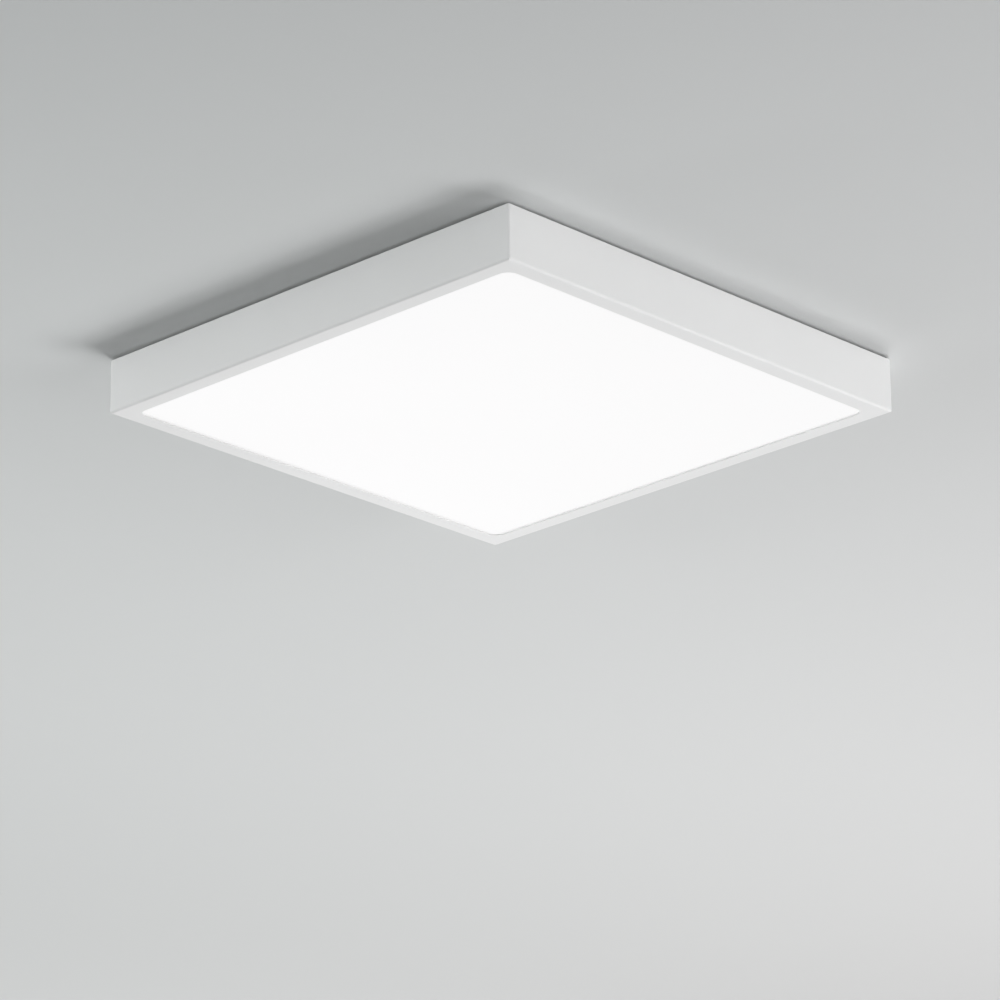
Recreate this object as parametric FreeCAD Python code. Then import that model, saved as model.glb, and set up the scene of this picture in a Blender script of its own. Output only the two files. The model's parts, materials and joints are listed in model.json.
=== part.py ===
import FreeCAD, Part
import math
import os

# Square flush mount ceiling light. Millimetres, +Z up.
# Origin: centre of the back face that lies on the ceiling. The light hangs below z = 0,
# its sides run along X and Y.

V = FreeCAD.Vector

# ---- driving dimensions -------------------------------------------------
SIDE = 400.0            # outer side of the cover frame
HEIGHT = 42.5           # ceiling to the lowest face
GAP = 1.5               # shadow gap between ceiling and cover frame
WALL = 1.5              # side walls of the cover frame
LIP_T = 1.0             # thickness of the trim
TRIM = 14.5             # width of the trim seen from below
R_BOTTOM = 2.0          # rounding of the frame's lower edge
R_CORNER = 1.5          # rounding of the frame's upright edges
R_OPENING = 8.5         # corner radius of the trim's opening
R_LIP = 0.8             # rounding of the opening's lower edge
DIFFUSER_T = 2.0
DIFFUSER_SIDE = 379.0
TRAY_SIDE = 388.0       # back tray
TRAY_DEPTH = 14.0
SHEET = 1.0             # tray sheet
LED_TRAY_Z = -16.0      # upper face of the LED tray
SKIRT_Z = -31.0         # lower edge of its skirt
SLOT_X, SLOT_Y = 125.0, 80.0       # half spacings of the ceiling screw slots
SLOT_L, SLOT_R = 16.0, 2.5
CLIP_AT = 110.0         # spring clips, distance from the middle of a side
NOSE_GAP = 0.3          # clip nose to the frame's inner wall
PITCH = 54.0            # between LED boards
LED_PITCH = 52.0        # along a board
STRIP_N = 7
STRIP_W, STRIP_L, STRIP_T = 14.0, 352.0, 1.2
LEAD_R = 1.1            # mains lead, insulated
LED_LEAD_R = 0.8        # low voltage lead
BUTTON_TRAVEL = 1.2

HALF = SIDE / 2
Z_BOT = -HEIGHT
Z_LIP = Z_BOT + LIP_T           # upper face of the trim
Z_DIFF = Z_LIP + DIFFUSER_T     # upper face of the diffuser
IN = HALF - WALL                # inner wall of the frame
OPEN = HALF - TRIM              # half the opening
TH = TRAY_SIDE / 2
Z_STRIP = LED_TRAY_Z - SHEET - STRIP_T     # lower face of the LED boards
LEADS_Z = -9.0
CONN_Z = Z_STRIP - 2.0


# ---- helpers ------------------------------------------------------------
def box(x0, y0, z0, x1, y1, z1):
    return Part.makeBox(x1 - x0, y1 - y0, z1 - z0, V(x0, y0, z0))


def cyl(x, y, z0, z1, r):
    return Part.makeCylinder(r, z1 - z0, V(x, y, z0), V(0, 0, 1))


def rcyl(a, b, r):
    a, b = V(*a), V(*b)
    return Part.makeCylinder(r, (b - a).Length, a, b - a)


def cone(x, y, z0, r0, z1, r1):
    return Part.makeCone(r0, r1, z1 - z0, V(x, y, z0), V(0, 0, 1))


def square_wire(h, z, r):
    """Rounded square outline, half side h, corner radius r."""
    k = h - r
    m = r * (1 - math.sqrt(0.5))
    e = []
    pts = [((k, -h), (h - m, -h + m), (h, -k)), ((h, k), (h - m, h - m), (k, h)),
           ((-k, h), (-h + m, h - m), (-h, k)), ((-h, -k), (-h + m, -h + m), (-k, -h))]
    for i, (a, b, c) in enumerate(pts):
        n = pts[(i + 1) % 4][0]
        e.append(Part.Arc(V(a[0], a[1], z), V(b[0], b[1], z), V(c[0], c[1], z)).toShape())
        e.append(Part.makeLine(V(c[0], c[1], z), V(n[0], n[1], z)))
    return Part.Wire(e)


def square_prism(h, z0, z1, r):
    return Part.Face(square_wire(h, z0, r)).extrude(V(0, 0, z1 - z0))


def obround(x, y, z0, z1, length, r, along_x=True):
    s = length / 2 - r
    if along_x:
        a = [V(x - s, y - r, z0), V(x + s, y - r, z0), V(x + s + r, y, z0), V(x + s, y + r, z0), V(x - s, y + r, z0), V(x - s - r, y, z0)]
    else:
        a = [V(x + r, y - s, z0), V(x + r, y + s, z0), V(x, y + s + r, z0), V(x - r, y + s, z0), V(x - r, y - s, z0), V(x, y - s - r, z0)]
    w = Part.Wire([Part.makeLine(a[0], a[1]), Part.Arc(a[1], a[2], a[3]).toShape(),
                   Part.makeLine(a[3], a[4]), Part.Arc(a[4], a[5], a[0]).toShape()])
    return Part.Face(w).extrude(V(0, 0, z1 - z0))


def hexagon(x, y, z0, z1, flats):
    r = flats / math.sqrt(3)
    pts = [V(x + r * math.cos(math.radians(60 * i + 30)), y + r * math.sin(math.radians(60 * i + 30)), z0) for i in range(7)]
    pts[6] = pts[0]
    return Part.Face(Part.makePolygon(pts)).extrude(V(0, 0, z1 - z0))


def edges_where(shape, test):
    out = []
    for e in shape.Edges:
        if test(e.BoundBox, e):
            out.append(e)
    return out


def soften(shape, r, test):
    found = edges_where(shape, test)
    return shape.makeFillet(r, found) if found else shape


def revolve_xz(points, x, y):
    """Turn a closed profile about the vertical line at x, y. A point is (r, z); a triple of
    points in a tuple ('arc', mid, end) draws an arc."""
    edges = []
    at = V(points[0][0], 0, points[0][1])
    first = at
    for p in points[1:]:
        if p[0] == "arc":
            mid, end = V(p[1][0], 0, p[1][1]), V(p[2][0], 0, p[2][1])
            edges.append(Part.Arc(at, mid, end).toShape())
        else:
            end = V(p[0], 0, p[1])
            edges.append(Part.makeLine(at, end))
        at = end
    if (at - first).Length > 1e-7:
        edges.append(Part.makeLine(at, first))
    s = Part.Face(Part.Wire(edges)).revolve(V(0, 0, 0), V(0, 0, 1), 360)
    s.translate(V(x, y, 0))
    return s


def run_arcs(points, radii):
    """Straight runs joined by tangent arcs: list of (kind, start, mid, end, radius, angle)."""
    pts = [V(*p) for p in points]
    out, at = [], pts[0]
    for i in range(1, len(pts) - 1):
        d0 = (pts[i] - pts[i - 1]).normalize()
        d1 = (pts[i + 1] - pts[i]).normalize()
        turn = d0.getAngle(d1)
        t = radii[i - 1] * math.tan(turn / 2)
        a, b = pts[i] - d0 * t, pts[i] + d1 * t
        bis = (d1 - d0).normalize()
        centre = pts[i] + bis * (radii[i - 1] / math.cos(turn / 2))
        mid = centre - bis * radii[i - 1]
        if (a - at).Length > 1e-6:
            out.append(("line", at, None, a, 0, 0))
        out.append(("arc", a, mid, b, radii[i - 1], turn))
        at = b
    out.append(("line", at, None, pts[-1], 0, 0))
    return out


def lead(points, radii, r, name=""):
    """Round insulated lead along straight runs and tangent arcs."""
    segs = run_arcs(points, radii)
    edges, length = [], 0.0
    for kind, a, m, b, rad, ang in segs:
        if kind == "line":
            edges.append(Part.makeLine(a, b))
            length += (b - a).Length
        else:
            edges.append(Part.Arc(a, m, b).toShape())
            length += rad * ang
    path = Part.Wire(edges)
    d = (segs[0][3] - segs[0][1]).normalize()
    disc = Part.Wire([Part.makeCircle(r, segs[0][1], d)])
    tube = path.makePipeShell([disc], True, True)
    want = math.pi * r * r * length
    print(name, "length %.1f" % length, "volume ratio %.4f" % (tube.Volume / want), "radii", [round(x, 1) for x in radii], "valid", tube.isValid())
    return tube


def strip_band(points, radii, t, y0, y1):
    """Bent sheet strip: centre line in XZ, thickness t, from y0 to y1."""
    segs = run_arcs([(p[0], 0, p[1]) for p in points], radii)
    left, right = [], []
    for kind, a, m, b, rad, ang in segs:
        if kind == "line":
            d = (b - a).normalize()
            n = V(d.z, 0, -d.x) * (t / 2)
            left.append(Part.makeLine(a + n, b + n))
            right.append(Part.makeLine(a - n, b - n))
        else:
            bis = (m - (a + b) * 0.5).normalize()
            c = m - bis * rad
            for side, off in ((left, 1), (right, -1)):
                def shift(p):
                    u = (p - c).normalize()
                    return u
                ua, um, ub = shift(a), shift(m), shift(b)
                # which way is left of the path at a
                nxt = (m - a).normalize()
                n = V(nxt.z, 0, -nxt.x)
                s = 1 if n.dot(ua) > 0 else -1
                rr = rad + off * s * t / 2
                side.append(Part.Arc(c + ua * rr, c + um * rr, c + ub * rr).toShape())
    ends = [Part.makeLine(left[-1].valueAt(left[-1].LastParameter), right[-1].valueAt(right[-1].LastParameter)),
            Part.makeLine(left[0].valueAt(left[0].FirstParameter), right[0].valueAt(right[0].FirstParameter))]
    w = Part.Wire(Part.sortEdges(left + right + ends)[0])
    s = Part.Face(w).extrude(V(0, y1 - y0, 0))
    s.translate(V(0, y0, 0))
    return s


def turned(shape, quarter):
    s = shape.copy()
    s.rotate(V(0, 0, 0), V(0, 0, 1), 90 * quarter)
    return s


def cross_recess(x, y, z_face, size, depth):
    """Recess cut upward from a downward face."""
    a = box(x - size, y - 0.45, z_face, x + size, y + 0.45, z_face + depth)
    b = box(x - 0.45, y - size, z_face, x + 0.45, y + size, z_face + depth)
    return a.fuse(b).fuse(cone(x, y, z_face, size * 0.55, z_face + depth, size * 0.25))


def pan_screw(x, y, z_face, head_r, head_h, r, length):
    """Pan head screw driven upward; its head lies under z_face."""
    head = revolve_xz([(0, z_face), (head_r, z_face), (head_r, z_face - head_h * 0.45),
                       ("arc", (head_r * 0.82, z_face - head_h * 0.86), (head_r * 0.45, z_face - head_h)),
                       (0, z_face - head_h)], x, y)
    s = head.fuse(cyl(x, y, z_face, z_face + length, r))
    return s.cut(cross_recess(x, y, z_face - head_h, head_r * 0.55, head_h * 0.6))


def nut(x, y, z0, z1, flats, bore):
    s = hexagon(x, y, z0, z1, flats)
    r = flats / 2
    c = revolve_xz([(0, z0), (r - 0.1, z0), (r * 1.18, z0 + 0.55), (r * 1.18, z1), (0, z1)], x, y)
    return s.common(c).cut(cyl(x, y, z0 - 1, z1 + 1, bore))


def group(shapes):
    return Part.makeCompound(shapes)


parts = {}

# ---- back tray ----------------------------------------------------------
outer = square_prism(TH, -TRAY_DEPTH, 0, 4.0)
outer = soften(outer, 1.6, lambda b, e: b.ZMin > -0.01)
inner = square_prism(TH - SHEET, -TRAY_DEPTH - 1, -SHEET, 3.0)
inner = soften(inner, 0.6, lambda b, e: abs(b.ZMin + SHEET) < 0.01 and abs(b.ZMax + SHEET) < 0.01)
tray = outer.cut(inner)

bead_ridges, bead_grooves = [], []
for q in range(4):
    for at in (174.0,):
        bead_ridges.append(turned(obround(at, 0, -SHEET - 1.4, -SHEET, 250, 5.0, False), q))
        bead_grooves.append(turned(obround(at, 0, -1.4, 1, 248, 4.0, False), q))
for sx in (-1, 1):
    for y, cx, ln in ((128.0, 60.0, 90.0), (-128.0, 20.0, 70.0)):
        bead_ridges.append(obround(sx * cx, y, -SHEET - 1.4, -SHEET, ln, 5.0))
        bead_grooves.append(obround(sx * cx, y, -1.4, 1, ln - 2, 4.0))
for r in bead_ridges:
    tray = tray.fuse(r)
DISH_R, DISH_Z = 21.0, -3.0
tray = tray.fuse(cone(0, 0, DISH_Z - SHEET, DISH_R - 1.6, -SHEET, DISH_R + 1.0))
for g in bead_grooves:
    tray = tray.cut(g)
tray = tray.cut(cone(0, 0, DISH_Z, DISH_R - 2.0, 0.0, DISH_R + 0.6))
tray = tray.cut(cyl(0, 0, -6, 1, 8.0))
for sx in (-1, 1):
    for sy in (-1, 1):
        tray = tray.cut(obround(sx * SLOT_X, sy * SLOT_Y, -3, 1, SLOT_L, SLOT_R))
# knock-out for a second cable: a thin ring scored into the back
tray = tray.cut(cyl(0, 92, -0.45, 1, 10.0).cut(cyl(0, 92, -0.5, 1, 9.3)))
STUDS = [(-81.0, -84.0), (81.0, -56.0), (-62.0, 34.0), (-125.0, 40.0)]
SPACERS = [(150.0, 143.0), (-150.0, 143.0), (-150.0, -143.0), (150.0, -143.0)]
for x, y in STUDS:
    tray = tray.cut(cyl(x, y, -3, 1, 2.9))
for x, y in SPACERS:
    tray = tray.cut(cyl(x, y, -3, 1, 3.0))
RIVET_Z = -6.0
for q in range(4):
    for s in (-1, 1):
        for d in (-5, 5):
            tray = tray.cut(turned(rcyl((TH - 3, s * CLIP_AT + d, RIVET_Z), (TH + 3, s * CLIP_AT + d, RIVET_Z), 1.3), q))
parts["back_tray"] = tray

# ---- cable grommet in the dished entry ----------------------------------
parts["cable_grommet"] = revolve_xz([
    (5.0, DISH_Z + 1.3), (9.6, DISH_Z + 1.3), ("arc", (10.5, DISH_Z + 1.0), (10.9, DISH_Z + 0.2)), (10.9, DISH_Z),
    (8.0, DISH_Z), (8.0, DISH_Z - SHEET), (11.0, DISH_Z - SHEET), (10.6, DISH_Z - SHEET - 1.2), (6.6, DISH_Z - SHEET - 2.4),
    (5.0, DISH_Z - SHEET - 2.4)], 0, 0)

# ---- clinch studs, nuts, spacers, screws --------------------------------
parts["tray_studs"] = group([cyl(x, y, -SHEET, 0, 2.9).fuse(cyl(x, y, -8.6, -SHEET, 2.0)).fuse(cone(x, y, -9.0, 1.6, -8.6, 2.0)) for x, y in STUDS])
nuts = []
for i, (x, y) in enumerate(STUDS):
    z1 = -2.4 if i == 3 else -3.0
    flange = cyl(x, y, z1 - 0.8, z1, 4.4)
    body = nut(x, y, z1 - 3.4, z1 - 0.8, 7.0, 2.0)
    nuts.append(body.fuse(flange).cut(cyl(x, y, z1 - 5, z1 + 1, 2.0)))
parts["stud_nuts"] = group(nuts)
spacers = []
for x, y in SPACERS:
    s = hexagon(x, y, LED_TRAY_Z, -SHEET, 7.0).fuse(cyl(x, y, -SHEET, 0, 3.0))
    spacers.append(s.cut(cyl(x, y, LED_TRAY_Z - 1, LED_TRAY_Z + 9, 2.0)))
parts["tray_spacers"] = group(spacers)
parts["led_tray_screws"] = group([pan_screw(x, y, LED_TRAY_Z - SHEET, 4.0, 2.4, 2.0, 8.0) for x, y in SPACERS])

# ---- spring clips on the tray's flange ----------------------------------
pts = [(TH + 0.25, -2.6), (TH + 0.25, -9.3), (TH + 4.0, -13.3), (TH + 1.3, -17.4)]
rad = [1.2, 1.5]
probe = strip_band(pts, rad, 0.5, -10, 10)
off = (IN - NOSE_GAP) - probe.BoundBox.XMax
pts[2] = (pts[2][0] + off, pts[2][1])
probe = strip_band(pts, rad, 0.5, -10, 10)
pts[2] = (pts[2][0] + (IN - NOSE_GAP) - probe.BoundBox.XMax, pts[2][1])
clip0 = strip_band(pts, rad, 0.5, -10, 10)
# relief between two tongues of the leaf, and the rivet holes
clip0 = clip0.cut(obround(TH + 2, 0, -30, 0, 6, 1.0).common(box(TH - 5, -9, -30, TH + 9, 9, -9.5)))
clips, rivets = [], []
for q in range(4):
    for s in (-1, 1):
        c = clip0.copy()
        c.translate(V(0, s * CLIP_AT, 0))
        for d in (-5, 5):
            y = s * CLIP_AT + d
            c = c.cut(rcyl((TH - 1, y, RIVET_Z), (TH + 2, y, RIVET_Z), 1.3))
            shank = rcyl((TH - SHEET, y, RIVET_Z), (TH + 0.5, y, RIVET_Z), 1.3)
            head = Part.makeCone(2.3, 1.4, 0.8, V(TH + 0.5, y, RIVET_Z), V(1, 0, 0))
            tail = Part.makeCone(2.1, 1.5, 0.7, V(TH - SHEET, y, RIVET_Z), V(-1, 0, 0))
            rivets.append(turned(shank.fuse(head).fuse(tail), q))
        clips.append(turned(c, q))
parts["spring_clips"] = group(clips)
parts["clip_rivets"] = group(rivets)

# ---- LED tray: white reflector plate with sloped skirt ------------------
R_T = 5.0
top_h, low_h = 186.0, 194.2
solid = Part.makeLoft([square_wire(top_h, LED_TRAY_Z, R_T), square_wire(low_h, SKIRT_Z, R_T + 4)], True, True)
hollow = Part.makeLoft([square_wire(top_h - 0.9, LED_TRAY_Z - SHEET, R_T - 0.6), square_wire(low_h - 0.9 + 0.55, SKIRT_Z - 1.0, R_T + 3.6)], True, True)
led_tray = solid.cut(hollow)
strips_y = [PITCH * (i - (STRIP_N - 1) / 2) for i in range(STRIP_N)]
RIVET_X = (-2.5 * LED_PITCH, -0.5 * LED_PITCH, 0.5 * LED_PITCH, 2.5 * LED_PITCH)
holes = []
for x, y in SPACERS:
    holes.append(cyl(x, y, LED_TRAY_Z - 3, LED_TRAY_Z + 1, 2.2))
for sx in (-1, 1):
    for sy in (-1, 1):
        holes.append(obround(sx * SLOT_X, sy * SLOT_Y, LED_TRAY_Z - 3, LED_TRAY_Z + 1, 24, 5.5))
HOLE = (168.9, -133.0)
holes.append(cyl(HOLE[0], HOLE[1], LED_TRAY_Z - 3, LED_TRAY_Z + 1, 4.5))
for y in strips_y:
    for x in RIVET_X:
        holes.append(cyl(x, y, LED_TRAY_Z - 3, LED_TRAY_Z + 1, 1.6))
led_tray = led_tray.cut(holes)
parts["led_tray"] = led_tray

parts["lead_grommet"] = revolve_xz([
    (3.0, LED_TRAY_Z + 1.2), (5.6, LED_TRAY_Z + 1.2), (6.2, LED_TRAY_Z + 0.6), (6.2, LED_TRAY_Z), (4.5, LED_TRAY_Z),
    (4.5, LED_TRAY_Z - SHEET), (6.2, LED_TRAY_Z - SHEET), (6.2, LED_TRAY_Z - SHEET - 0.6), (5.6, LED_TRAY_Z - SHEET - 1.2),
    (3.0, LED_TRAY_Z - SHEET - 1.2)], HOLE[0], HOLE[1])

# ---- LED boards, chips, lenses, rivets, connectors, jumpers -------------
boards, chips, lenses, pins, conns, jumpers = [], [], [], [], [], []
ZB = LED_TRAY_Z - SHEET
for i, y in enumerate(strips_y):
    b = box(-STRIP_L / 2, y - STRIP_W / 2, Z_STRIP, STRIP_L / 2, y + STRIP_W / 2, ZB)
    b = b.cut([cyl(x, y, Z_STRIP - 1, ZB + 1, 1.6) for x in RIVET_X])
    boards.append(b)
    for k in range(7):
        x = LED_PITCH * (k - 3)
        chips.append(box(x - 1.5, y - 1.5, Z_STRIP - 0.7, x + 1.5, y + 1.5, Z_STRIP))
        lenses.append(revolve_xz([
            (3.4, Z_STRIP), (7.6, Z_STRIP), (7.6, Z_STRIP - 1.0),
            ("arc", (6.6, Z_STRIP - 3.6), (3.9, Z_STRIP - 4.9)),
            ("arc", (2.1, Z_STRIP - 5.0), (0.5, Z_STRIP - 4.5)), (0, Z_STRIP - 4.5),
            (0, Z_STRIP - 2.9), (0.5, Z_STRIP - 2.9),
            ("arc", (2.4, Z_STRIP - 2.2), (3.4, Z_STRIP))], x, y))
    for x in RIVET_X:
        pins.append(revolve_xz([
            (0, ZB + SHEET + 0.65), (1.2, ZB + SHEET + 0.65), (1.95, ZB + SHEET + 0.25), (1.5, ZB + SHEET + 0.02), (1.5, Z_STRIP),
            (3.1, Z_STRIP), ("arc", (2.4, Z_STRIP - 0.95), (0.5, Z_STRIP - 1.4)), (0, Z_STRIP - 1.4)], x, y))
# boards joined one after the other, at alternate ends
CX = 168.9


def connector(x, y, face):
    y0, y1 = (y - 4, y + 5.5) if face > 0 else (y - 5.5, y + 4)
    c = box(x - 4, y0, Z_STRIP - 4.0, x + 4, y1, Z_STRIP)
    c = soften(c, 0.5, lambda b, e: b.ZMax < Z_STRIP - 0.5)
    mouth = y + 5.5 * face
    for dx in (-1.1, 1.1):
        c = c.cut(rcyl((x + dx, mouth - 3 * face, CONN_Z), (x + dx, mouth + face, CONN_Z), LED_LEAD_R + 0.05))
    win = box(x - 2.4, min(y - 2.5 * face, y - 0.5 * face), Z_STRIP - 4.0, x + 2.4, max(y - 2.5 * face, y - 0.5 * face), Z_STRIP - 3.2)
    return c.cut(win)


conns.append(connector(CX, strips_y[0], 1))
for i in range(STRIP_N - 1):
    x = -CX if i % 2 == 0 else CX
    a, b = strips_y[i], strips_y[i + 1]
    conns.append(connector(x, a, 1))
    conns.append(connector(x, b, -1))
    ys = a + 2.5
    ye = b - 2.5
    for dx in (-1.1, 1.1):
        sag = 1.7 if dx < 0 else 2.1
        p = [(x + dx, ys, CONN_Z), (x + dx, ys + 12, CONN_Z), (x + dx, ys + 20.5, CONN_Z - sag), (x + dx, ye - 20.5, CONN_Z - sag), (x + dx, ye - 12, CONN_Z), (x + dx, ye, CONN_Z)]
        jumpers.append((p, [18, 18, 18, 18]))
parts["led_boards"] = group(boards)
parts["led_chips"] = group(chips)
parts["led_lenses"] = group(lenses)
parts["board_rivets"] = group(pins)
parts["board_connectors"] = group(conns)
parts["jumper_leads"] = group([lead(p, r, LED_LEAD_R, "jumper") for p, r in jumpers])

# ---- LED driver ---------------------------------------------------------
DX, DY0, DY1 = 75.0, -91.0, -49.0
D_RIM = -13.5
case = box(-DX, DY0, D_RIM, DX, DY1, -SHEET)
case = soften(case, 2.0, lambda b, e: b.ZLength > 12)
case = case.cut(soften(box(-DX + 1.5, DY0 + 1.5, D_RIM - 1, DX - 1.5, DY1 - 1.5, -SHEET - 1.5), 1.0, lambda b, e: b.ZLength > 11))
POSTS = [(-58.0, -85.5), (58.0, -54.5)]
for x, y in POSTS:
    case = case.fuse(cyl(x, y, D_RIM, -SHEET - 1.0, 3.2))
for x, y in ((-50, -60), (50, -80), (-30, -84), (30, -56)):
    case = case.fuse(cyl(x, y, -3.0, -SHEET - 1.0, 2.0))
for s, y0, y1, (sx, sy) in ((-1, -91.0, -77.0, STUDS[0]), (1, -63.0, -49.0, STUDS[1])):
    xa, xb = sorted((s * (DX - 1.0), s * (DX + 12)))
    ear = soften(box(xa, y0, -SHEET - 2.0, xb, y1, -SHEET), 4.0, lambda b, e: b.ZLength > 1.9 and abs(abs(b.XMin) - (DX + 12)) < 0.1)
    case = case.fuse(ear).cut(cyl(sx, sy, -4, 0, 2.1))
IN_T = (-72.0, -56.0)
OUT_T = (-83.0, -71.5)
case = case.cut(box(-DX - 1, IN_T[0], D_RIM - 1, -DX + 3, IN_T[1], -4.6))
case = case.cut(box(DX - 3, OUT_T[0], D_RIM - 1, DX + 1, OUT_T[1], -4.6))
for x, y in POSTS:
    case = case.cut(cyl(x, y, D_RIM - 1, D_RIM + 7, 1.1))
# vent slots in the long wall
case = case.cut([box(x - 3, DY1 - 3, -11, x + 3, DY1 + 1, -9.8) for x in (-48, -36, -24, -12, 0, 12, 24, 36)])
parts["driver_case"] = case.removeSplitter()

lid = box(-DX, DY0, D_RIM - 1.2, DX, DY1, D_RIM)
lid = soften(lid, 2.0, lambda b, e: b.ZLength > 1.1 and b.XLength < 0.1 and b.YLength < 0.1)
for x in (-30, -18, -6, 6, 18, 30):
    lid = lid.fuse(obround(x, (DY0 + DY1) / 2, D_RIM - 1.6, D_RIM - 1.2, 30, 1.2, False))
for x, y in POSTS:
    lid = lid.cut(cyl(x, y, D_RIM - 2, D_RIM + 1, 1.3))
parts["driver_lid"] = lid
parts["driver_lid_screws"] = group([pan_screw(x, y, D_RIM - 1.2, 2.3, 1.1, 1.1, 7.0) for x, y in POSTS])

pcb = box(-DX + 2.0, DY0 + 2.0, -4.6, DX - 2.0, DY1 - 2.0, -3.0)
for x, y in POSTS:
    pcb = pcb.cut(cyl(x, y, -6, -2, 3.6))
parts["driver_board"] = pcb
core = box(-11, -80, -12.6, 11, -60, -4.6).cut(box(-6.5, -81, -10.6, 6.5, -59, -6.6))
coil = box(-6.5, -82, -10.6, 6.5, -58, -6.6)
coil = coil.fuse(box(-9, -84, -12.0, 9, -80, -5.2)).fuse(box(-9, -60, -12.0, 9, -56, -5.2))
parts["transformer_core"] = core
parts["transformer_coil"] = coil
caps = []
for x, y, r, ln in ((-40, -66, 3.9, 18), (40, -64, 3.9, 16)):
    c = rcyl((x - ln / 2, y, -4.6 - r), (x + ln / 2, y, -4.6 - r), r)
    caps.append(c)
caps.append(box(22, -84, -12, 30, -72, -4.6))
caps.append(box(-31, -79, -12, -25, -61, -4.6))
parts["driver_capacitors"] = group(caps)


def driver_terminal(x_out, sign, y0, y1, wires, r):
    xa, xb = sorted((x_out, x_out - sign * 12))
    t = box(xa, y0, D_RIM, xb, y1, -4.6)
    for y in wires:
        t = t.cut(rcyl((x_out + sign, y, LEADS_Z), (x_out - sign * 6, y, LEADS_Z), r))
        t = t.cut(rcyl((x_out - sign * 8.5, y, D_RIM - 1), (x_out - sign * 8.5, y, D_RIM + 1.2), 1.6))
    return t


LIVE_Y, NEUTRAL_Y = -68.0, -60.0
OUT_A, OUT_B = -76.0, -78.2
parts["driver_input_terminal"] = driver_terminal(-DX, -1, IN_T[0], IN_T[1], (LIVE_Y, NEUTRAL_Y), LEAD_R + 0.05)
parts["driver_output_terminal"] = driver_terminal(DX, 1, OUT_T[0], OUT_T[1], (OUT_A, OUT_B), LED_LEAD_R + 0.05)

# ---- mains terminal block ----------------------------------------------
TX0, TX1, TY0, TY1 = -75.0, -49.0, -5.0, 29.0
T_LOW, T_BASE = -12.5, -2.5
POLES = {"neutral": 2.0, "live": 12.0, "earth": 22.0}
TW = -6.5
blk = box(TX0, TY0, T_LOW, TX1, TY1, T_BASE)
blk = soften(blk, 0.8, lambda b, e: b.ZMax < T_LOW + 0.01 or (b.ZLength > 9 and b.XLength < 0.1 and b.YLength < 0.1))
for y in POLES.values():
    blk = blk.cut(rcyl((TX0 - 1, y, TW), (-66, y, TW), LEAD_R + 0.1))
    blk = blk.cut(box(-66, y - 2.2, -9.0, -59.6, y + 2.2, T_BASE + 1))
    blk = blk.cut(box(-59.6, y - 3.4, -11.3, -52.4, y + 3.4, T_BASE + 1))
    blk = blk.cut(box(-58.6, y - 3.4, T_LOW - 1, -53.4, y + 3.4, -11.2))
    blk = blk.cut(rcyl((-52.5, y, TW), (TX1 + 1, y, TW), 1.6))
    blk = blk.cut(Part.makeCone(1.6, 2.6, 1.0, V(TX1 - 1.0, y, TW), V(1, 0, 0)))
for y in (7.0, 17.0):
    blk = blk.cut(box(TX0 - 1, y - 0.4, T_LOW - 1, TX1 + 1, y + 0.4, T_LOW + 0.8))
parts["terminal_block"] = blk
base = box(TX0, TY0, T_BASE, TX1, TY1, -SHEET)
ear = soften(box(-67, TY1 - 0.5, -SHEET - 2.0, -57, TY1 + 10, -SHEET), 3.0, lambda b, e: b.ZLength > 1.9 and b.YMin > TY1 + 9)
ear = ear.cut(box(-80, TY1 - 5, T_LOW, -40, TY1, T_BASE))
base = base.fuse(ear).cut(cyl(STUDS[2][0], STUDS[2][1], -4, 0, 2.1))
parts["terminal_base"] = base
parts["terminal_contacts"] = group([box(-66, y - 2.0, -8.6, -60, y + 2.0, -4.4).fuse(box(-60, y - 2.0, -4.9, -53, y + 2.0, -4.4)) for y in POLES.values()])
for name, y in POLES.items():
    stem = box(-58.4, y - 3.2, -14.0, -53.6, y + 3.2, -11.2)
    stem = stem.fuse(box(-59.4, y - 3.2, -11.2, -52.6, y + 3.2, -9.4))
    stem = stem.cut(box(-57.2, y - 0.5, -15, -54.8, y + 0.5, -13.3))
    stem = soften(stem, 0.4, lambda b, e: b.ZMax < -13.99 and (b.XLength > 4.7 or b.YLength > 6.3))
    parts[name + "_button"] = stem

# ---- leads --------------------------------------------------------------
parts["live_lead"] = lead([(-66, 12, TW), (-106, 12, TW), (-106, LIVE_Y, LEADS_Z), (-DX + 6, LIVE_Y, LEADS_Z)], [24, 23], LEAD_R, "live")
parts["neutral_lead"] = lead([(-66, 2, TW), (-97, 2, TW), (-97, NEUTRAL_Y, LEADS_Z), (-DX + 6, NEUTRAL_Y, LEADS_Z)], [15, 15], LEAD_R, "neutral")
LUG_Z = -3.4
parts["earth_lead"] = lead([(-66, 22, TW), (-90, 22, TW), (-101, 40, LUG_Z), (-118, 40, LUG_Z)], [15, 12], LEAD_R, "earth")
ex, ey = STUDS[3]
ring = cyl(ex, ey, -2.4, -1.6, 4.2).fuse(box(ex, ey - 1.8, -2.4, ex + 7, ey + 1.8, -1.6))
barrel = rcyl((ex + 5.5, ey, LUG_Z), (ex + 13.5, ey, LUG_Z), 1.8)
lug = ring.fuse(barrel).cut(rcyl((ex + 7, ey, LUG_Z), (ex + 15, ey, LUG_Z), LEAD_R)).cut(cyl(ex, ey, -4, 0, 2.1))
# keep the barrel's end clear of the nut's flange
lug = lug.cut(cyl(ex, ey, -7, -2.4, 4.6))
parts["earth_lug"] = lug
washer = cyl(ex, ey, -1.6, -SHEET, 4.0).cut(cyl(ex, ey, -3, 0, 2.1))
teeth = [box(ex + 3.1, ey - 0.35, -3, ex + 5, ey + 0.35, 0) for _ in range(10)]
for k, t in enumerate(teeth):
    t.rotate(V(ex, ey, 0), V(0, 0, 1), 36 * k)
parts["earth_washer"] = washer.cut(teeth)

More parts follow.
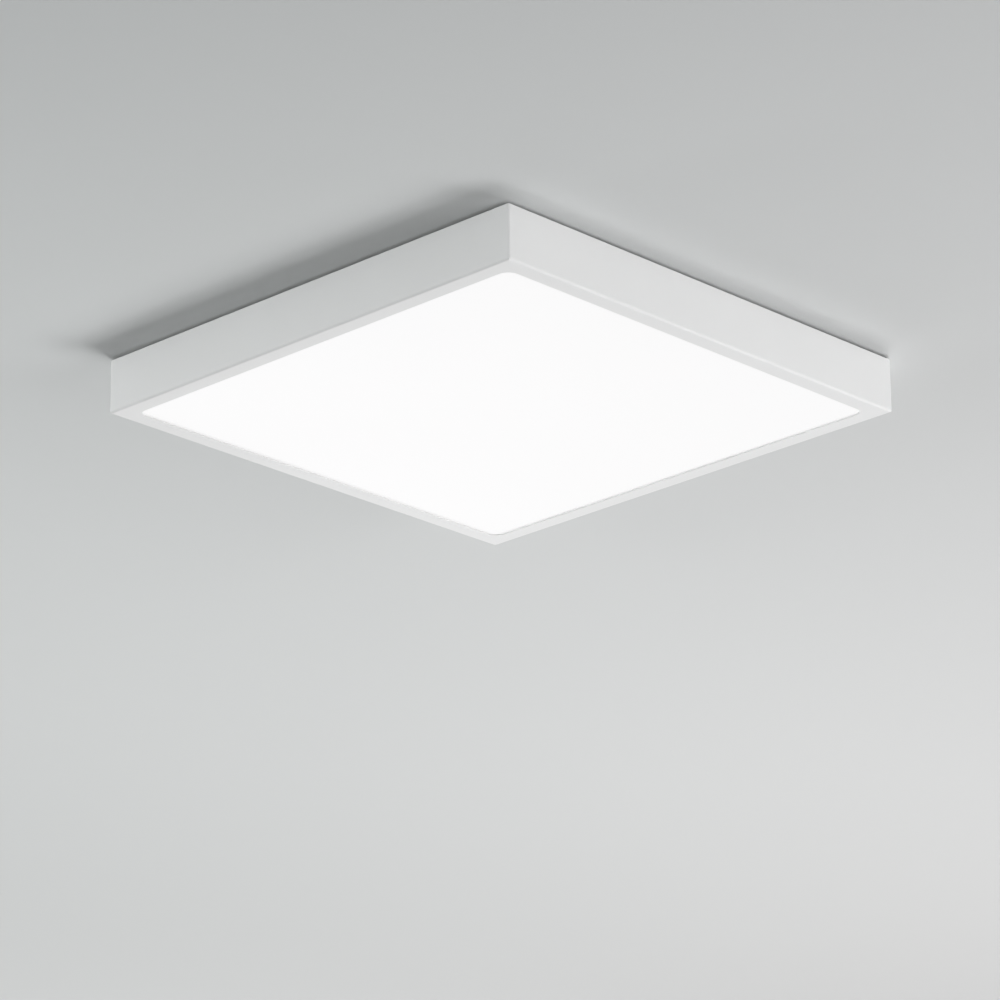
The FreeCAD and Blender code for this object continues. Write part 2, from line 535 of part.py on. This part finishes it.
RA, RB = 14.2, 12.0
parts["led_lead_positive"] = lead([(DX - 6, OUT_A, LEADS_Z), (102.2, OUT_A, LEADS_Z), (102.2, -112.8, LEADS_Z), (170, -112.8, LEADS_Z),
                                   (170, -133, LEADS_Z), (170, -133, CONN_Z), (170, strips_y[0] + 2.5, CONN_Z)],
                                  [RA, RB, 10.0, 5.3, 5.3], LED_LEAD_R, "led +")
parts["led_lead_negative"] = lead([(DX - 6, OUT_B, LEADS_Z), (100, OUT_B, LEADS_Z), (100, -115, LEADS_Z), (167.8, -115, LEADS_Z),
                                   (167.8, -133, LEADS_Z), (167.8, -133, CONN_Z), (167.8, strips_y[0] + 2.5, CONN_Z)],
                                  [RB, RA, 7.8, 5.3, 5.3], LED_LEAD_R, "led -")

# ---- cover: frame, diffuser, gasket, retainers, studs, nuts -------------
frame = box(-HALF, -HALF, Z_BOT, HALF, HALF, -GAP)
up = edges_where(frame, lambda b, e: b.ZLength > 40)
frame = frame.makeFillet(R_CORNER, up)
low = edges_where(frame, lambda b, e: b.ZMax < Z_BOT + 0.01)
frame = frame.makeFillet(R_CORNER * 0.999, low) if R_BOTTOM <= R_CORNER else frame
if R_BOTTOM > R_CORNER:
    # lower edge: rounded by taking the solid inside a body with the larger radius
    frame = box(-HALF, -HALF, Z_BOT, HALF, HALF, -GAP)
    frame = frame.makeFillet(R_BOTTOM, edges_where(frame, lambda b, e: b.ZMax < Z_BOT + 0.01))
    frame = frame.common(square_prism(HALF, Z_BOT - 1, 0, R_CORNER))
frame = frame.cut(square_prism(IN, Z_LIP, 5, 1.0))
frame = frame.cut(square_prism(OPEN, Z_BOT - 5, Z_LIP + 1, R_OPENING))
frame = soften(frame, R_LIP, lambda b, e: b.ZMax < Z_BOT + 0.01 and abs(b.XMin) < OPEN + 0.01 and abs(b.XMax) < OPEN + 0.01 and abs(b.YMin) < OPEN + 0.01 and abs(b.YMax) < OPEN + 0.01)
frame = soften(frame, 0.35, lambda b, e: b.ZMin > -GAP - 0.01 and max(abs(b.XMin), abs(b.XMax), abs(b.YMin), abs(b.YMax)) > HALF - 0.01)
parts["cover_frame"] = frame

diffuser = square_prism(DIFFUSER_SIDE / 2, Z_LIP, Z_DIFF, 2.0)
parts["diffuser"] = diffuser
G0, G1 = 185.6, 189.0
parts["diffuser_gasket"] = square_prism(G1, Z_DIFF, Z_DIFF + 1.0, 4.0).cut(square_prism(G0, Z_DIFF - 1, Z_DIFF + 2, R_OPENING))
STUD_AT = 195.0
ret, cst, cnu = [], [], []
zt = Z_DIFF + 1.0
for q in range(4):
    foot = box(190.4, -170, Z_LIP, 198.2, 170, Z_LIP + 0.8)
    riser = box(190.4, -170, Z_LIP, 191.2, 170, zt + 0.8)
    top = box(186.0, -170, zt, 191.2, 170, zt + 0.8)
    r = foot.fuse(riser).fuse(top).removeSplitter()
    r = soften(r, 0.5, lambda b, e: b.YLength > 300 and abs(b.XMin - 190.4) < 0.01 and b.ZMin > zt + 0.7)
    r = soften(r, 0.4, lambda b, e: b.YLength > 300 and abs(b.XMin - 191.2) < 0.01 and b.ZMin > zt + 0.7)
    for y in (-150, 0, 150):
        r = r.cut(cyl(STUD_AT, y, Z_LIP - 1, Z_LIP + 2, 1.6))
        cst.append(turned(cyl(STUD_AT, y, Z_LIP, Z_LIP + 4.6, 1.5).fuse(cone(STUD_AT, y, Z_LIP + 4.6, 1.5, Z_LIP + 5.0, 1.1)), q))
        n = nut(STUD_AT, y, Z_LIP + 0.8, Z_LIP + 3.2, 5.5, 1.5)
        cnu.append(turned(n, q))
    ret.append(turned(r, q))
parts["retainer_strips"] = group(ret)
parts["cover_studs"] = group(cst)
parts["retainer_nuts"] = group(cnu)

os.makedirs("parts", exist_ok=True)
for name, shape in parts.items():
    bad = [s for s in shape.Solids if not s.isValid() or s.Volume <= 0]
    bb = shape.BoundBox
    print("%-24s solids %3d valid %s volume %10.1f  x %.1f..%.1f y %.1f..%.1f z %.2f..%.2f" % (
        name, len(shape.Solids), not bad, shape.Volume, bb.XMin, bb.XMax, bb.YMin, bb.YMax, bb.ZMin, bb.ZMax))
    shape.exportStep(os.path.join("parts", name + ".step"))
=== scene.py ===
import json
import math
import random

import bmesh
import bpy
from mathutils import Matrix, Vector

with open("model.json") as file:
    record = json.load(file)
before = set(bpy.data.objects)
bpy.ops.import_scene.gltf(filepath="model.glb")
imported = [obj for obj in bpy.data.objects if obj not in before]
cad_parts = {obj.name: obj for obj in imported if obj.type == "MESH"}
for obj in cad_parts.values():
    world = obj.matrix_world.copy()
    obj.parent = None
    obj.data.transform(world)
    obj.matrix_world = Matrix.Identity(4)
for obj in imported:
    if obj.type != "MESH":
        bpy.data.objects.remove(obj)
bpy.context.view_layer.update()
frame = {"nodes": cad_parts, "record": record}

N = frame["nodes"]
scene = bpy.context.scene
random.seed(7)

# ---------------------------------------------------------------- materials


def srgb(r, g, b):
    f = lambda c: c / 12.92 if c <= 0.04045 else ((c + 0.055) / 1.055) ** 2.4
    return (f(r / 255), f(g / 255), f(b / 255), 1.0)


class Mat:
    """A small helper around one node material."""

    def __init__(self, name, color, rough=0.5, metal=0.0, spec=0.5, coat=0.0, coat_rough=0.1, ior=1.5):
        self.m = bpy.data.materials.new(name)
        self.m.use_nodes = True
        self.nt = self.m.node_tree
        self.nt.nodes.clear()
        self.out = self.node("ShaderNodeOutputMaterial")
        self.b = self.node("ShaderNodeBsdfPrincipled")
        self.nt.links.new(self.b.outputs["BSDF"], self.out.inputs["Surface"])
        self.color = color
        self.b.inputs["Base Color"].default_value = color
        self.b.inputs["Roughness"].default_value = rough
        self.b.inputs["Metallic"].default_value = metal
        self.b.inputs["Specular IOR Level"].default_value = spec
        self.b.inputs["Coat Weight"].default_value = coat
        self.b.inputs["Coat Roughness"].default_value = coat_rough
        self.b.inputs["IOR"].default_value = ior
        self.rough = rough
        self.tc = None

    def node(self, kind, **values):
        n = self.nt.nodes.new(kind)
        for k, v in values.items():
            setattr(n, k, v)
        return n

    def link(self, a, b):
        self.nt.links.new(a, b)

    def coords(self, scale=(1, 1, 1), rot=(0, 0, 0)):
        if self.tc is None:
            self.tc = self.node("ShaderNodeTexCoord")
        m = self.node("ShaderNodeMapping")
        m.inputs["Scale"].default_value = scale
        m.inputs["Rotation"].default_value = rot
        self.link(self.tc.outputs["Object"], m.inputs["Vector"])
        return m.outputs["Vector"]

    def noise(self, scale, detail=3, rough=0.55, stretch=(1, 1, 1), rot=(0, 0, 0), distortion=0.0):
        n = self.node("ShaderNodeTexNoise")
        n.inputs["Scale"].default_value = scale
        n.inputs["Detail"].default_value = detail
        n.inputs["Roughness"].default_value = rough
        n.inputs["Distortion"].default_value = distortion
        self.link(self.coords(stretch, rot), n.inputs["Vector"])
        return n.outputs["Fac"]

    def voronoi(self, scale, feature="F1", stretch=(1, 1, 1)):
        n = self.node("ShaderNodeTexVoronoi")
        n.feature = feature
        n.inputs["Scale"].default_value = scale
        self.link(self.coords(stretch), n.inputs["Vector"])
        return n.outputs["Distance"]

    def span(self, fac, low, high, a=0.35, b=0.65):
        r = self.node("ShaderNodeMapRange")
        r.inputs["From Min"].default_value = a
        r.inputs["From Max"].default_value = b
        r.inputs["To Min"].default_value = low
        r.inputs["To Max"].default_value = high
        self.link(fac, r.inputs["Value"])
        return r.outputs["Result"]

    def mix(self, fac, c1, c2):
        x = self.node("ShaderNodeMix", data_type="RGBA")
        self.link(fac, x.inputs["Factor"])
        for sock, c in ((x.inputs[6], c1), (x.inputs[7], c2)):
            if isinstance(c, tuple):
                sock.default_value = c
            else:
                self.link(c, sock)
        return x.outputs[2]

    def set_color(self, socket):
        self.link(socket, self.b.inputs["Base Color"])

    def set_rough(self, socket):
        self.link(socket, self.b.inputs["Roughness"])

    def bump(self, height, distance, strength=1.0, after=None):
        n = self.node("ShaderNodeBump")
        n.inputs["Strength"].default_value = strength
        n.inputs["Distance"].default_value = distance
        self.link(height, n.inputs["Height"])
        if after is not None:
            self.link(after, n.inputs["Normal"])
        self.link(n.outputs["Normal"], self.b.inputs["Normal"])
        return n.outputs["Normal"]


def shade(c, k):
    return (c[0] * k, c[1] * k, c[2] * k, 1.0)


def powder_mat(name, color, rough=0.42, peel=1.0, tone=0.02):
    """Satin powder coat: soft orange peel, a faint cloudiness in the tone."""
    m = Mat(name, color, rough=rough, spec=0.5)
    cloud = m.noise(9, 2)
    fine = m.noise(1400, 2, 0.6)
    m.body = m.mix(m.span(cloud, 0, 1, 0.3, 0.7), shade(color, 1 - tone), color)
    m.set_color(m.body)
    m.set_rough(m.span(fine, rough - 0.05, rough + 0.05))
    n = m.bump(m.noise(620, 2, 0.5), 0.000012 * peel, 1.0)
    m.bump(m.noise(2600, 1, 0.5), 0.000003 * peel, 1.0, n)
    return m


def powder_coat(*args, **settings):
    return powder_mat(*args, **settings).m


def distances(m):
    """Distances from the middle along X and Y, the larger of the two, and the height."""
    sep = m.node("ShaderNodeSeparateXYZ")
    m.link(m.coords(), sep.inputs["Vector"])
    far = m.node("ShaderNodeMath", operation="MAXIMUM")
    sides = []
    for axis, sock in zip("XY", far.inputs):
        size = m.node("ShaderNodeMath", operation="ABSOLUTE")
        m.link(sep.outputs[axis], size.inputs[0])
        m.link(size.outputs[0], sock)
        sides.append(size.outputs[0])
    return sides[0], sides[1], far.outputs[0], sep.outputs["Z"]


def frame_coat():
    """The cover frame's powder coat, painted lighter on the opening's lip along the two edges that face along X: a
    painted highlight standing in for the diffuser's light falling on that lip.
    """
    m = powder_mat("frame_powder_coat", WHITE_FRAME, rough=0.50)
    along_x, along_y, far, z = distances(m)
    # mask of the painted highlight on the lip, built from the masks below
    lip_painted_light = None
    for mask in (m.span(along_x, 0, 1, 0.1845, 0.1853), m.span(along_x, 1, 0, 0.1868, 0.1872),
                 m.span(along_y, 1, 0, 0.1850, 0.1854), m.span(z, 0, 1, -0.04245, -0.0422)):
        if lip_painted_light is not None:
            both = m.node("ShaderNodeMath", operation="MULTIPLY")
            m.link(lip_painted_light, both.inputs[0])
            m.link(mask, both.inputs[1])
            mask = both.outputs[0]
        lip_painted_light = mask
    # painted highlight: the lip band is made lighter where the diffuser's light falls on it
    m.set_color(m.mix(lip_painted_light, m.body, (0.93, 0.93, 0.93, 1)))
    return m.m


def plated_steel(name, color, rough=0.28, grain=(1, 1, 14)):
    m = Mat(name, color, rough=rough, metal=1.0)
    spangle = m.noise(260, 3, 0.6)
    m.set_color(m.mix(m.span(spangle, 0, 1), shade(color, 0.86), color))
    m.set_rough(m.span(m.noise(900, 3, 0.6, grain), rough - 0.08, rough + 0.12))
    m.bump(m.noise(1500, 2, 0.5, grain), 0.000004)
    return m.m


def plastic(name, color, rough=0.45, texture=0.00001, scale=2200, spec=0.5, tone=0.05, coat=0.0):
    m = Mat(name, color, rough=rough, spec=spec, coat=coat)
    m.set_color(m.mix(m.span(m.noise(60, 2), 0, 1), shade(color, 1 - tone), color))
    m.set_rough(m.span(m.noise(scale * 0.6, 2), rough - 0.06, rough + 0.06))
    m.bump(m.noise(scale, 2, 0.6), texture)
    return m.m


WHITE_FRAME = (0.724, 0.724, 0.724, 1)
mats = {}
mats["frame_paint"] = frame_coat()
mats["tray_paint"] = powder_coat("tray_powder_coat", (0.72, 0.72, 0.715, 1), rough=0.5, peel=1.6, tone=0.04)
mats["reflector_paint"] = powder_coat("reflector_white", (0.86, 0.86, 0.855, 1), rough=0.62, peel=0.8)
mats["zinc_steel"] = plated_steel("zinc_plate", (0.62, 0.63, 0.65, 1))
mats["spring_steel"] = plated_steel("spring_steel", (0.40, 0.40, 0.41, 1), rough=0.34, grain=(1, 1, 30))
mats["grey_rubber"] = plastic("grey_rubber", (0.055, 0.056, 0.06, 1), rough=0.72, texture=0.00002, scale=1500)
mats["white_silicone"] = plastic("white_silicone", (0.70, 0.70, 0.68, 1), rough=0.6, texture=0.000008)
mats["white_nylon"] = plastic("white_nylon", (0.76, 0.76, 0.73, 1), rough=0.38, texture=0.000004)
mats["driver_plastic"] = plastic("driver_plastic", (0.66, 0.66, 0.64, 1), rough=0.5, texture=0.00003, scale=1600)
mats["board_green"] = plastic("green_solder_mask", (0.01, 0.12, 0.04, 1), rough=0.25, texture=0.000002)
mats["ferrite"] = plastic("ferrite", (0.03, 0.03, 0.03, 1), rough=0.6, texture=0.00002)
mats["coil_tape"] = plastic("coil_tape", (0.75, 0.45, 0.03, 1), rough=0.35, texture=0.000004)
mats["capacitor_can"] = plastic("capacitor_sleeve", (0.02, 0.02, 0.05, 1), rough=0.3, texture=0.000003)
mats["terminal_green"] = plastic("terminal_green", (0.02, 0.22, 0.06, 1), rough=0.35, texture=0.000006)
mats["terminal_grey"] = plastic("terminal_grey", (0.42, 0.42, 0.42, 1), rough=0.35, texture=0.000006)
mats["button_orange"] = plastic("button_orange", (0.80, 0.16, 0.012, 1), rough=0.33, texture=0.000006)
for key, col in {"white_pvc": (0.72, 0.72, 0.70, 1), "brown_pvc": (0.10, 0.035, 0.015, 1), "blue_pvc": (0.012, 0.09, 0.42, 1),
                 "red_pvc": (0.45, 0.012, 0.01, 1), "black_pvc": (0.012, 0.012, 0.013, 1)}.items():
    mats[key] = plastic(key, col, rough=0.36, texture=0.000004, scale=900)


def striped_lead():
    """Green insulation with a yellow stripe along it."""
    m = Mat("green_yellow_pvc", (0.03, 0.25, 0.03, 1), rough=0.36)
    w = m.noise(90, 1, 0.4, (1, 1, 0.4))
    m.set_color(m.mix(m.span(w, 0, 1, 0.49, 0.52), (0.02, 0.22, 0.03, 1), (0.75, 0.6, 0.02, 1)))
    m.set_rough(m.span(m.noise(900, 2), 0.3, 0.42))
    m.bump(m.noise(900, 2), 0.000004)
    return m.m


mats["green_pvc"] = striped_lead()


def brass(name, color, rough=0.3):
    m = Mat(name, color, rough=rough, metal=1.0)
    m.set_color(m.mix(m.span(m.noise(180, 3), 0, 1), shade(color, 0.8), color))
    m.set_rough(m.span(m.noise(700, 3), rough - 0.1, rough + 0.12))
    m.bump(m.noise(1200, 2), 0.000004)
    return m.m


mats["brass"] = brass("brass", (0.72, 0.5, 0.2, 1))
mats["tinned_brass"] = brass("tinned_brass", (0.66, 0.65, 0.6, 1))


def lens_clear():
    m = Mat("lens_acrylic", (0.97, 0.98, 0.99, 1), rough=0.04, ior=1.49)
    m.b.inputs["Transmission Weight"].default_value = 0.62
    m.set_rough(m.span(m.noise(400, 2), 0.05, 0.13))
    m.bump(m.noise(700, 2), 0.000003)
    return m.m


mats["lens_clear"] = lens_clear()


def phosphor():
    m = Mat("phosphor", (0.85, 0.68, 0.16, 1), rough=0.35, coat=0.5)
    m.set_color(m.mix(m.span(m.voronoi(9000), 0, 1, 0.1, 0.6), (0.7, 0.5, 0.08, 1), (0.9, 0.75, 0.25, 1)))
    m.b.inputs["Emission Color"].default_value = (1.0, 0.93, 0.75, 1)
    m.b.inputs["Emission Strength"].default_value = 1.5
    m.bump(m.noise(5000, 2), 0.000003)
    return m.m


mats["phosphor"] = phosphor()


def board_white():
    """White solder mask with fine copper lines just showing through it."""
    m = Mat("board_solder_mask", (0.80, 0.80, 0.79, 1), rough=0.3, coat=0.2)
    tracks = m.span(m.noise(160, 1, 0.4, (0.06, 1, 1)), 0, 1, 0.47, 0.53)
    m.set_color(m.mix(tracks, (0.765, 0.765, 0.75, 1), (0.82, 0.82, 0.81, 1)))
    m.set_rough(m.span(m.noise(800, 2), 0.26, 0.34))
    n = m.bump(tracks, 0.00002, 0.6)
    m.bump(m.noise(1600, 2, 0.5), 0.0000015, 1.0, n)
    return m.m


mats["board_white"] = board_white()


def opal():
    """Opal acrylic lit from behind: almost even, with a faint satin grain, and a little weaker in the last 4 mm beside the trim."""
    m = Mat("opal_acrylic", (0.12, 0.12, 0.12, 1), rough=0.5, spec=0.06, ior=1.49)
    fine = m.noise(1800, 2)
    m.set_color(m.mix(m.span(m.noise(5, 1), 0, 1), (0.117, 0.117, 0.117, 1), (0.123, 0.123, 0.123, 1)))
    m.set_rough(m.span(fine, 0.44, 0.56))
    m.bump(fine, 0.000004)
    near_trim = m.node("ShaderNodeMath", operation="POWER")
    m.link(m.span(distances(m)[2], 0, 1, 0.1815, 0.1855), near_trim.inputs[0])
    near_trim.inputs[1].default_value = 2.0
    m.link(m.mix(near_trim.outputs[0], (1.0, 0.996, 0.998, 1), (0.91, 0.906, 0.908, 1)), m.b.inputs["Emission Color"])
    m.b.inputs["Emission Strength"].default_value = 0.815
    return m.m


mats["opal_acrylic"] = opal()

slot_of = {s["node"]: s["material_slot"] for s in frame["record"]["subparts"]}
for name, obj in N.items():
    obj.data.materials.clear()
    obj.data.materials.append(mats[slot_of[name]])

# ------------------------------------------------------------------- stage


def stage_plane(name, size, z, centre, face_down, material, cuts=1):
    me = bpy.data.meshes.new(name)
    bm = bmesh.new()
    h = size / 2
    vs = [bm.verts.new((centre[0] + sx * h, centre[1] + sy * h, z)) for sx, sy in ((-1, -1), (1, -1), (1, 1), (-1, 1))]
    f = bm.faces.new(vs)
    if face_down:
        f.normal_flip()
    bm.to_mesh(me)
    bm.free()
    o = bpy.data.objects.new(name, me)
    scene.collection.objects.link(o)
    me.materials.append(material)
    return o


def ceiling_material():
    """Matt ceiling paint seen from below, with painted light and shade: its brightness follows a slow gradient over
    metres that stands in for the lamps' light falling off across it, and its tint shifts slowly across it as well;
    nothing is drawn on its upper side.
    """
    m = Mat("ceiling_paint", (0.753, 0.753, 0.753, 1), rough=0.9, spec=0.2)
    sep = m.node("ShaderNodeSeparateXYZ")
    m.link(m.coords(), sep.inputs["Vector"])

    def op(kind, a, b):
        n = m.node("ShaderNodeMath", operation=kind)
        for sock, v in ((n.inputs[0], a), (n.inputs[1], b)):
            if isinstance(v, (int, float)):
                sock.default_value = v
            else:
                m.link(v, sock)
        return n.outputs[0]

    x, y = sep.outputs["X"], sep.outputs["Y"]
    xx, xy, yy = op("MULTIPLY", x, x), op("MULTIPLY", x, y), op("MULTIPLY", y, y)
    terms = (x, y, xx, xy, yy, op("MULTIPLY", xx, x), op("MULTIPLY", xx, y), op("MULTIPLY", yy, x), op("MULTIPLY", yy, y))

    def drift(factors):
        total = factors[0]
        for k, term in zip(factors[1:], terms):
            total = op("ADD", op("MULTIPLY", term, k), total)
        return total

    # painted light and shade: the brightness gradient across the ceiling, kept within limits
    tone = op("MINIMUM", op("MAXIMUM", drift(CEILING_PAINTED_FALLOFF), 0.6), 0.92)
    tint = m.node("ShaderNodeCombineXYZ")
    tint.inputs["Y"].default_value = 1.0
    for axis, factors in TINT.items():
        m.link(op("MINIMUM", op("MAXIMUM", drift(factors), 0.985), 1.02), tint.inputs[axis])
    mottle = m.mix(m.span(m.noise(1.3, 2), 0, 1), (0.7850, 0.8020, 0.7966, 1), (0.7905, 0.8074, 0.8020, 1))
    tinted = m.node("ShaderNodeVectorMath", operation="MULTIPLY")
    m.link(mottle, tinted.inputs[0])
    m.link(tint.outputs["Vector"], tinted.inputs[1])
    scale = m.node("ShaderNodeVectorMath", operation="SCALE")
    m.link(tinted.outputs["Vector"], scale.inputs[0])
    m.link(tone, scale.inputs["Scale"])
    m.set_color(scale.outputs["Vector"])
    m.bump(m.noise(260, 3), 0.00006)
    clear = m.node("ShaderNodeBsdfTransparent")
    geo = m.node("ShaderNodeNewGeometry")
    mix = m.node("ShaderNodeMixShader")
    m.link(geo.outputs["Backfacing"], mix.inputs["Fac"])
    m.link(m.b.outputs["BSDF"], mix.inputs[1])
    m.link(clear.outputs["BSDF"], mix.inputs[2])
    m.link(mix.outputs["Shader"], m.out.inputs["Surface"])
    return m.m


def floor_material():
    """Pale seamless floor, softly lit of itself so that it reads as a bright studio floor."""
    m = Mat("pale_floor", (0.10, 0.10, 0.10, 1), rough=0.8, spec=0.1)
    m.set_color(m.mix(m.span(m.noise(0.8, 3), 0, 1), (0.098, 0.098, 0.098, 1), (0.102, 0.102, 0.102, 1)))
    m.bump(m.noise(40, 3), 0.0002)
    m.b.inputs["Emission Color"].default_value = PALE
    m.b.inputs["Emission Strength"].default_value = 1.0
    return m.m


# painted light and shade for the ceiling: its brightness as a cubic in x and y, standing in for the lamps' falloff
# across it
CEILING_PAINTED_FALLOFF = (0.7667, -0.0765, 0.0882, -0.0618, -0.0804, -0.0067, 0.0562, 0.0801, -0.0356, -0.0009)
TINT = {"X": (1.0021, 0.0175, -0.0102), "Z": (1.0065, 0.0005, -0.0039)}
PALE = (0.60, 0.605, 0.605, 1)
ceiling = stage_plane("ceiling", 14.0, 0.0002, (0, 0), True, ceiling_material())
ceiling.visible_shadow = False
floor = stage_plane("floor", 60.0, -2.6, (0, 0), False, floor_material())
floor.visible_diffuse = False
floor.visible_glossy = True

# ------------------------------------------------------------------ lights


def area(name, at, target, size, power, size_y=None, color=(1, 1, 1)):
    li = bpy.data.lights.new(name, "AREA")
    li.shape = "RECTANGLE"
    li.size = size
    li.size_y = size_y or size
    li.energy = power
    li.color = color
    o = bpy.data.objects.new(name, li)
    scene.collection.objects.link(o)
    o.location = at
    d = Vector(target) - Vector(at)
    o.rotation_euler = d.to_track_quat("-Z", "Y").to_euler()
    o.visible_camera = False
    return o


LIGHTS = [
    ("key", (1.215, 0.442, -1.780), 0.8, 21.6),
    ("key_far", (2.565, -0.452, -2.185), 1.2, 35.5),
    ("left_far", (-2.175, 1.256, -0.673), 1.6, 12.2),
    ("low_left", (-2.6, 0.3, -0.25), 0.9, 22.8),
    ("right", (0.650, -2.426, -0.673), 1.6, 23.3),
    ("right_down", (0.4, -1.9, -1.9), 1.6, 12.4),
    ("right_low", (0.3, -2.6, -0.25), 0.9, 16.2),
    ("behind", (1.256, 2.175, -0.673), 1.6, 14.2),
    ("low_behind", (-0.9, 2.6, -0.25), 0.9, 22.0),
    ("low_far", (2.6, -0.9, -0.25), 0.9, 7.0),
    # above the ceiling, for the back of the tray
    ("top", (0.6, 0.4, 2.0), 1.6, 30.0),
    ("top_soft", (0.5, 0.5, 2.0), 1.8, 25.0),
]
for name, at, size, power in LIGHTS:
    lamp = area(name, at, (0, 0, 0), size, power, color=(0.978, 1.0, 0.995) if "left" in name else (1.0, 1.0, 1.0))
    if name == "top":
        lamp.data.cycles.max_bounces = 0
    if name == "key_far":
        lamp.visible_glossy = False

world = bpy.data.worlds.new("studio")
scene.world = world
world.use_nodes = True
bg = world.node_tree.nodes["Background"]
bg.inputs["Color"].default_value = PALE
bg.inputs["Strength"].default_value = 1.0
world.cycles_visibility.diffuse = False
world.cycles_visibility.glossy = True
world.cycles_visibility.transmission = True

# ------------------------------------------------------------------ camera
cam_data = bpy.data.cameras.new("camera")
cam = bpy.data.objects.new("camera", cam_data)
scene.collection.objects.link(cam)
cam_data.sensor_width = 36.0
cam_data.sensor_fit = "HORIZONTAL"
cam_data.lens = 178.848
cam_data.clip_start = 0.1
cam_data.clip_end = 100
rgt = Vector((0.6945296, -0.7194106, -0.0087756))
up = Vector((-0.2448057, -0.2477734, 0.9373785))
bck = Vector((-0.6765344, -0.6488888, -0.3482018))
m = Matrix((rgt, up, bck)).transposed().to_4x4()
m.translation = Vector((-2.413021, -2.312069, -1.350872))
cam.matrix_world = m
scene.camera = cam

scene.view_settings.view_transform = "Standard"
scene.view_settings.look = "None"
scene.view_settings.exposure = 0
scene.view_settings.gamma = 1
scene.cycles.use_denoising = True
scene.cycles.max_bounces = 8
scene.cycles.diffuse_bounces = 4
scene.cycles.glossy_bounces = 4
scene.cycles.transmission_bounces = 8
scene.cycles.transparent_max_bounces = 12
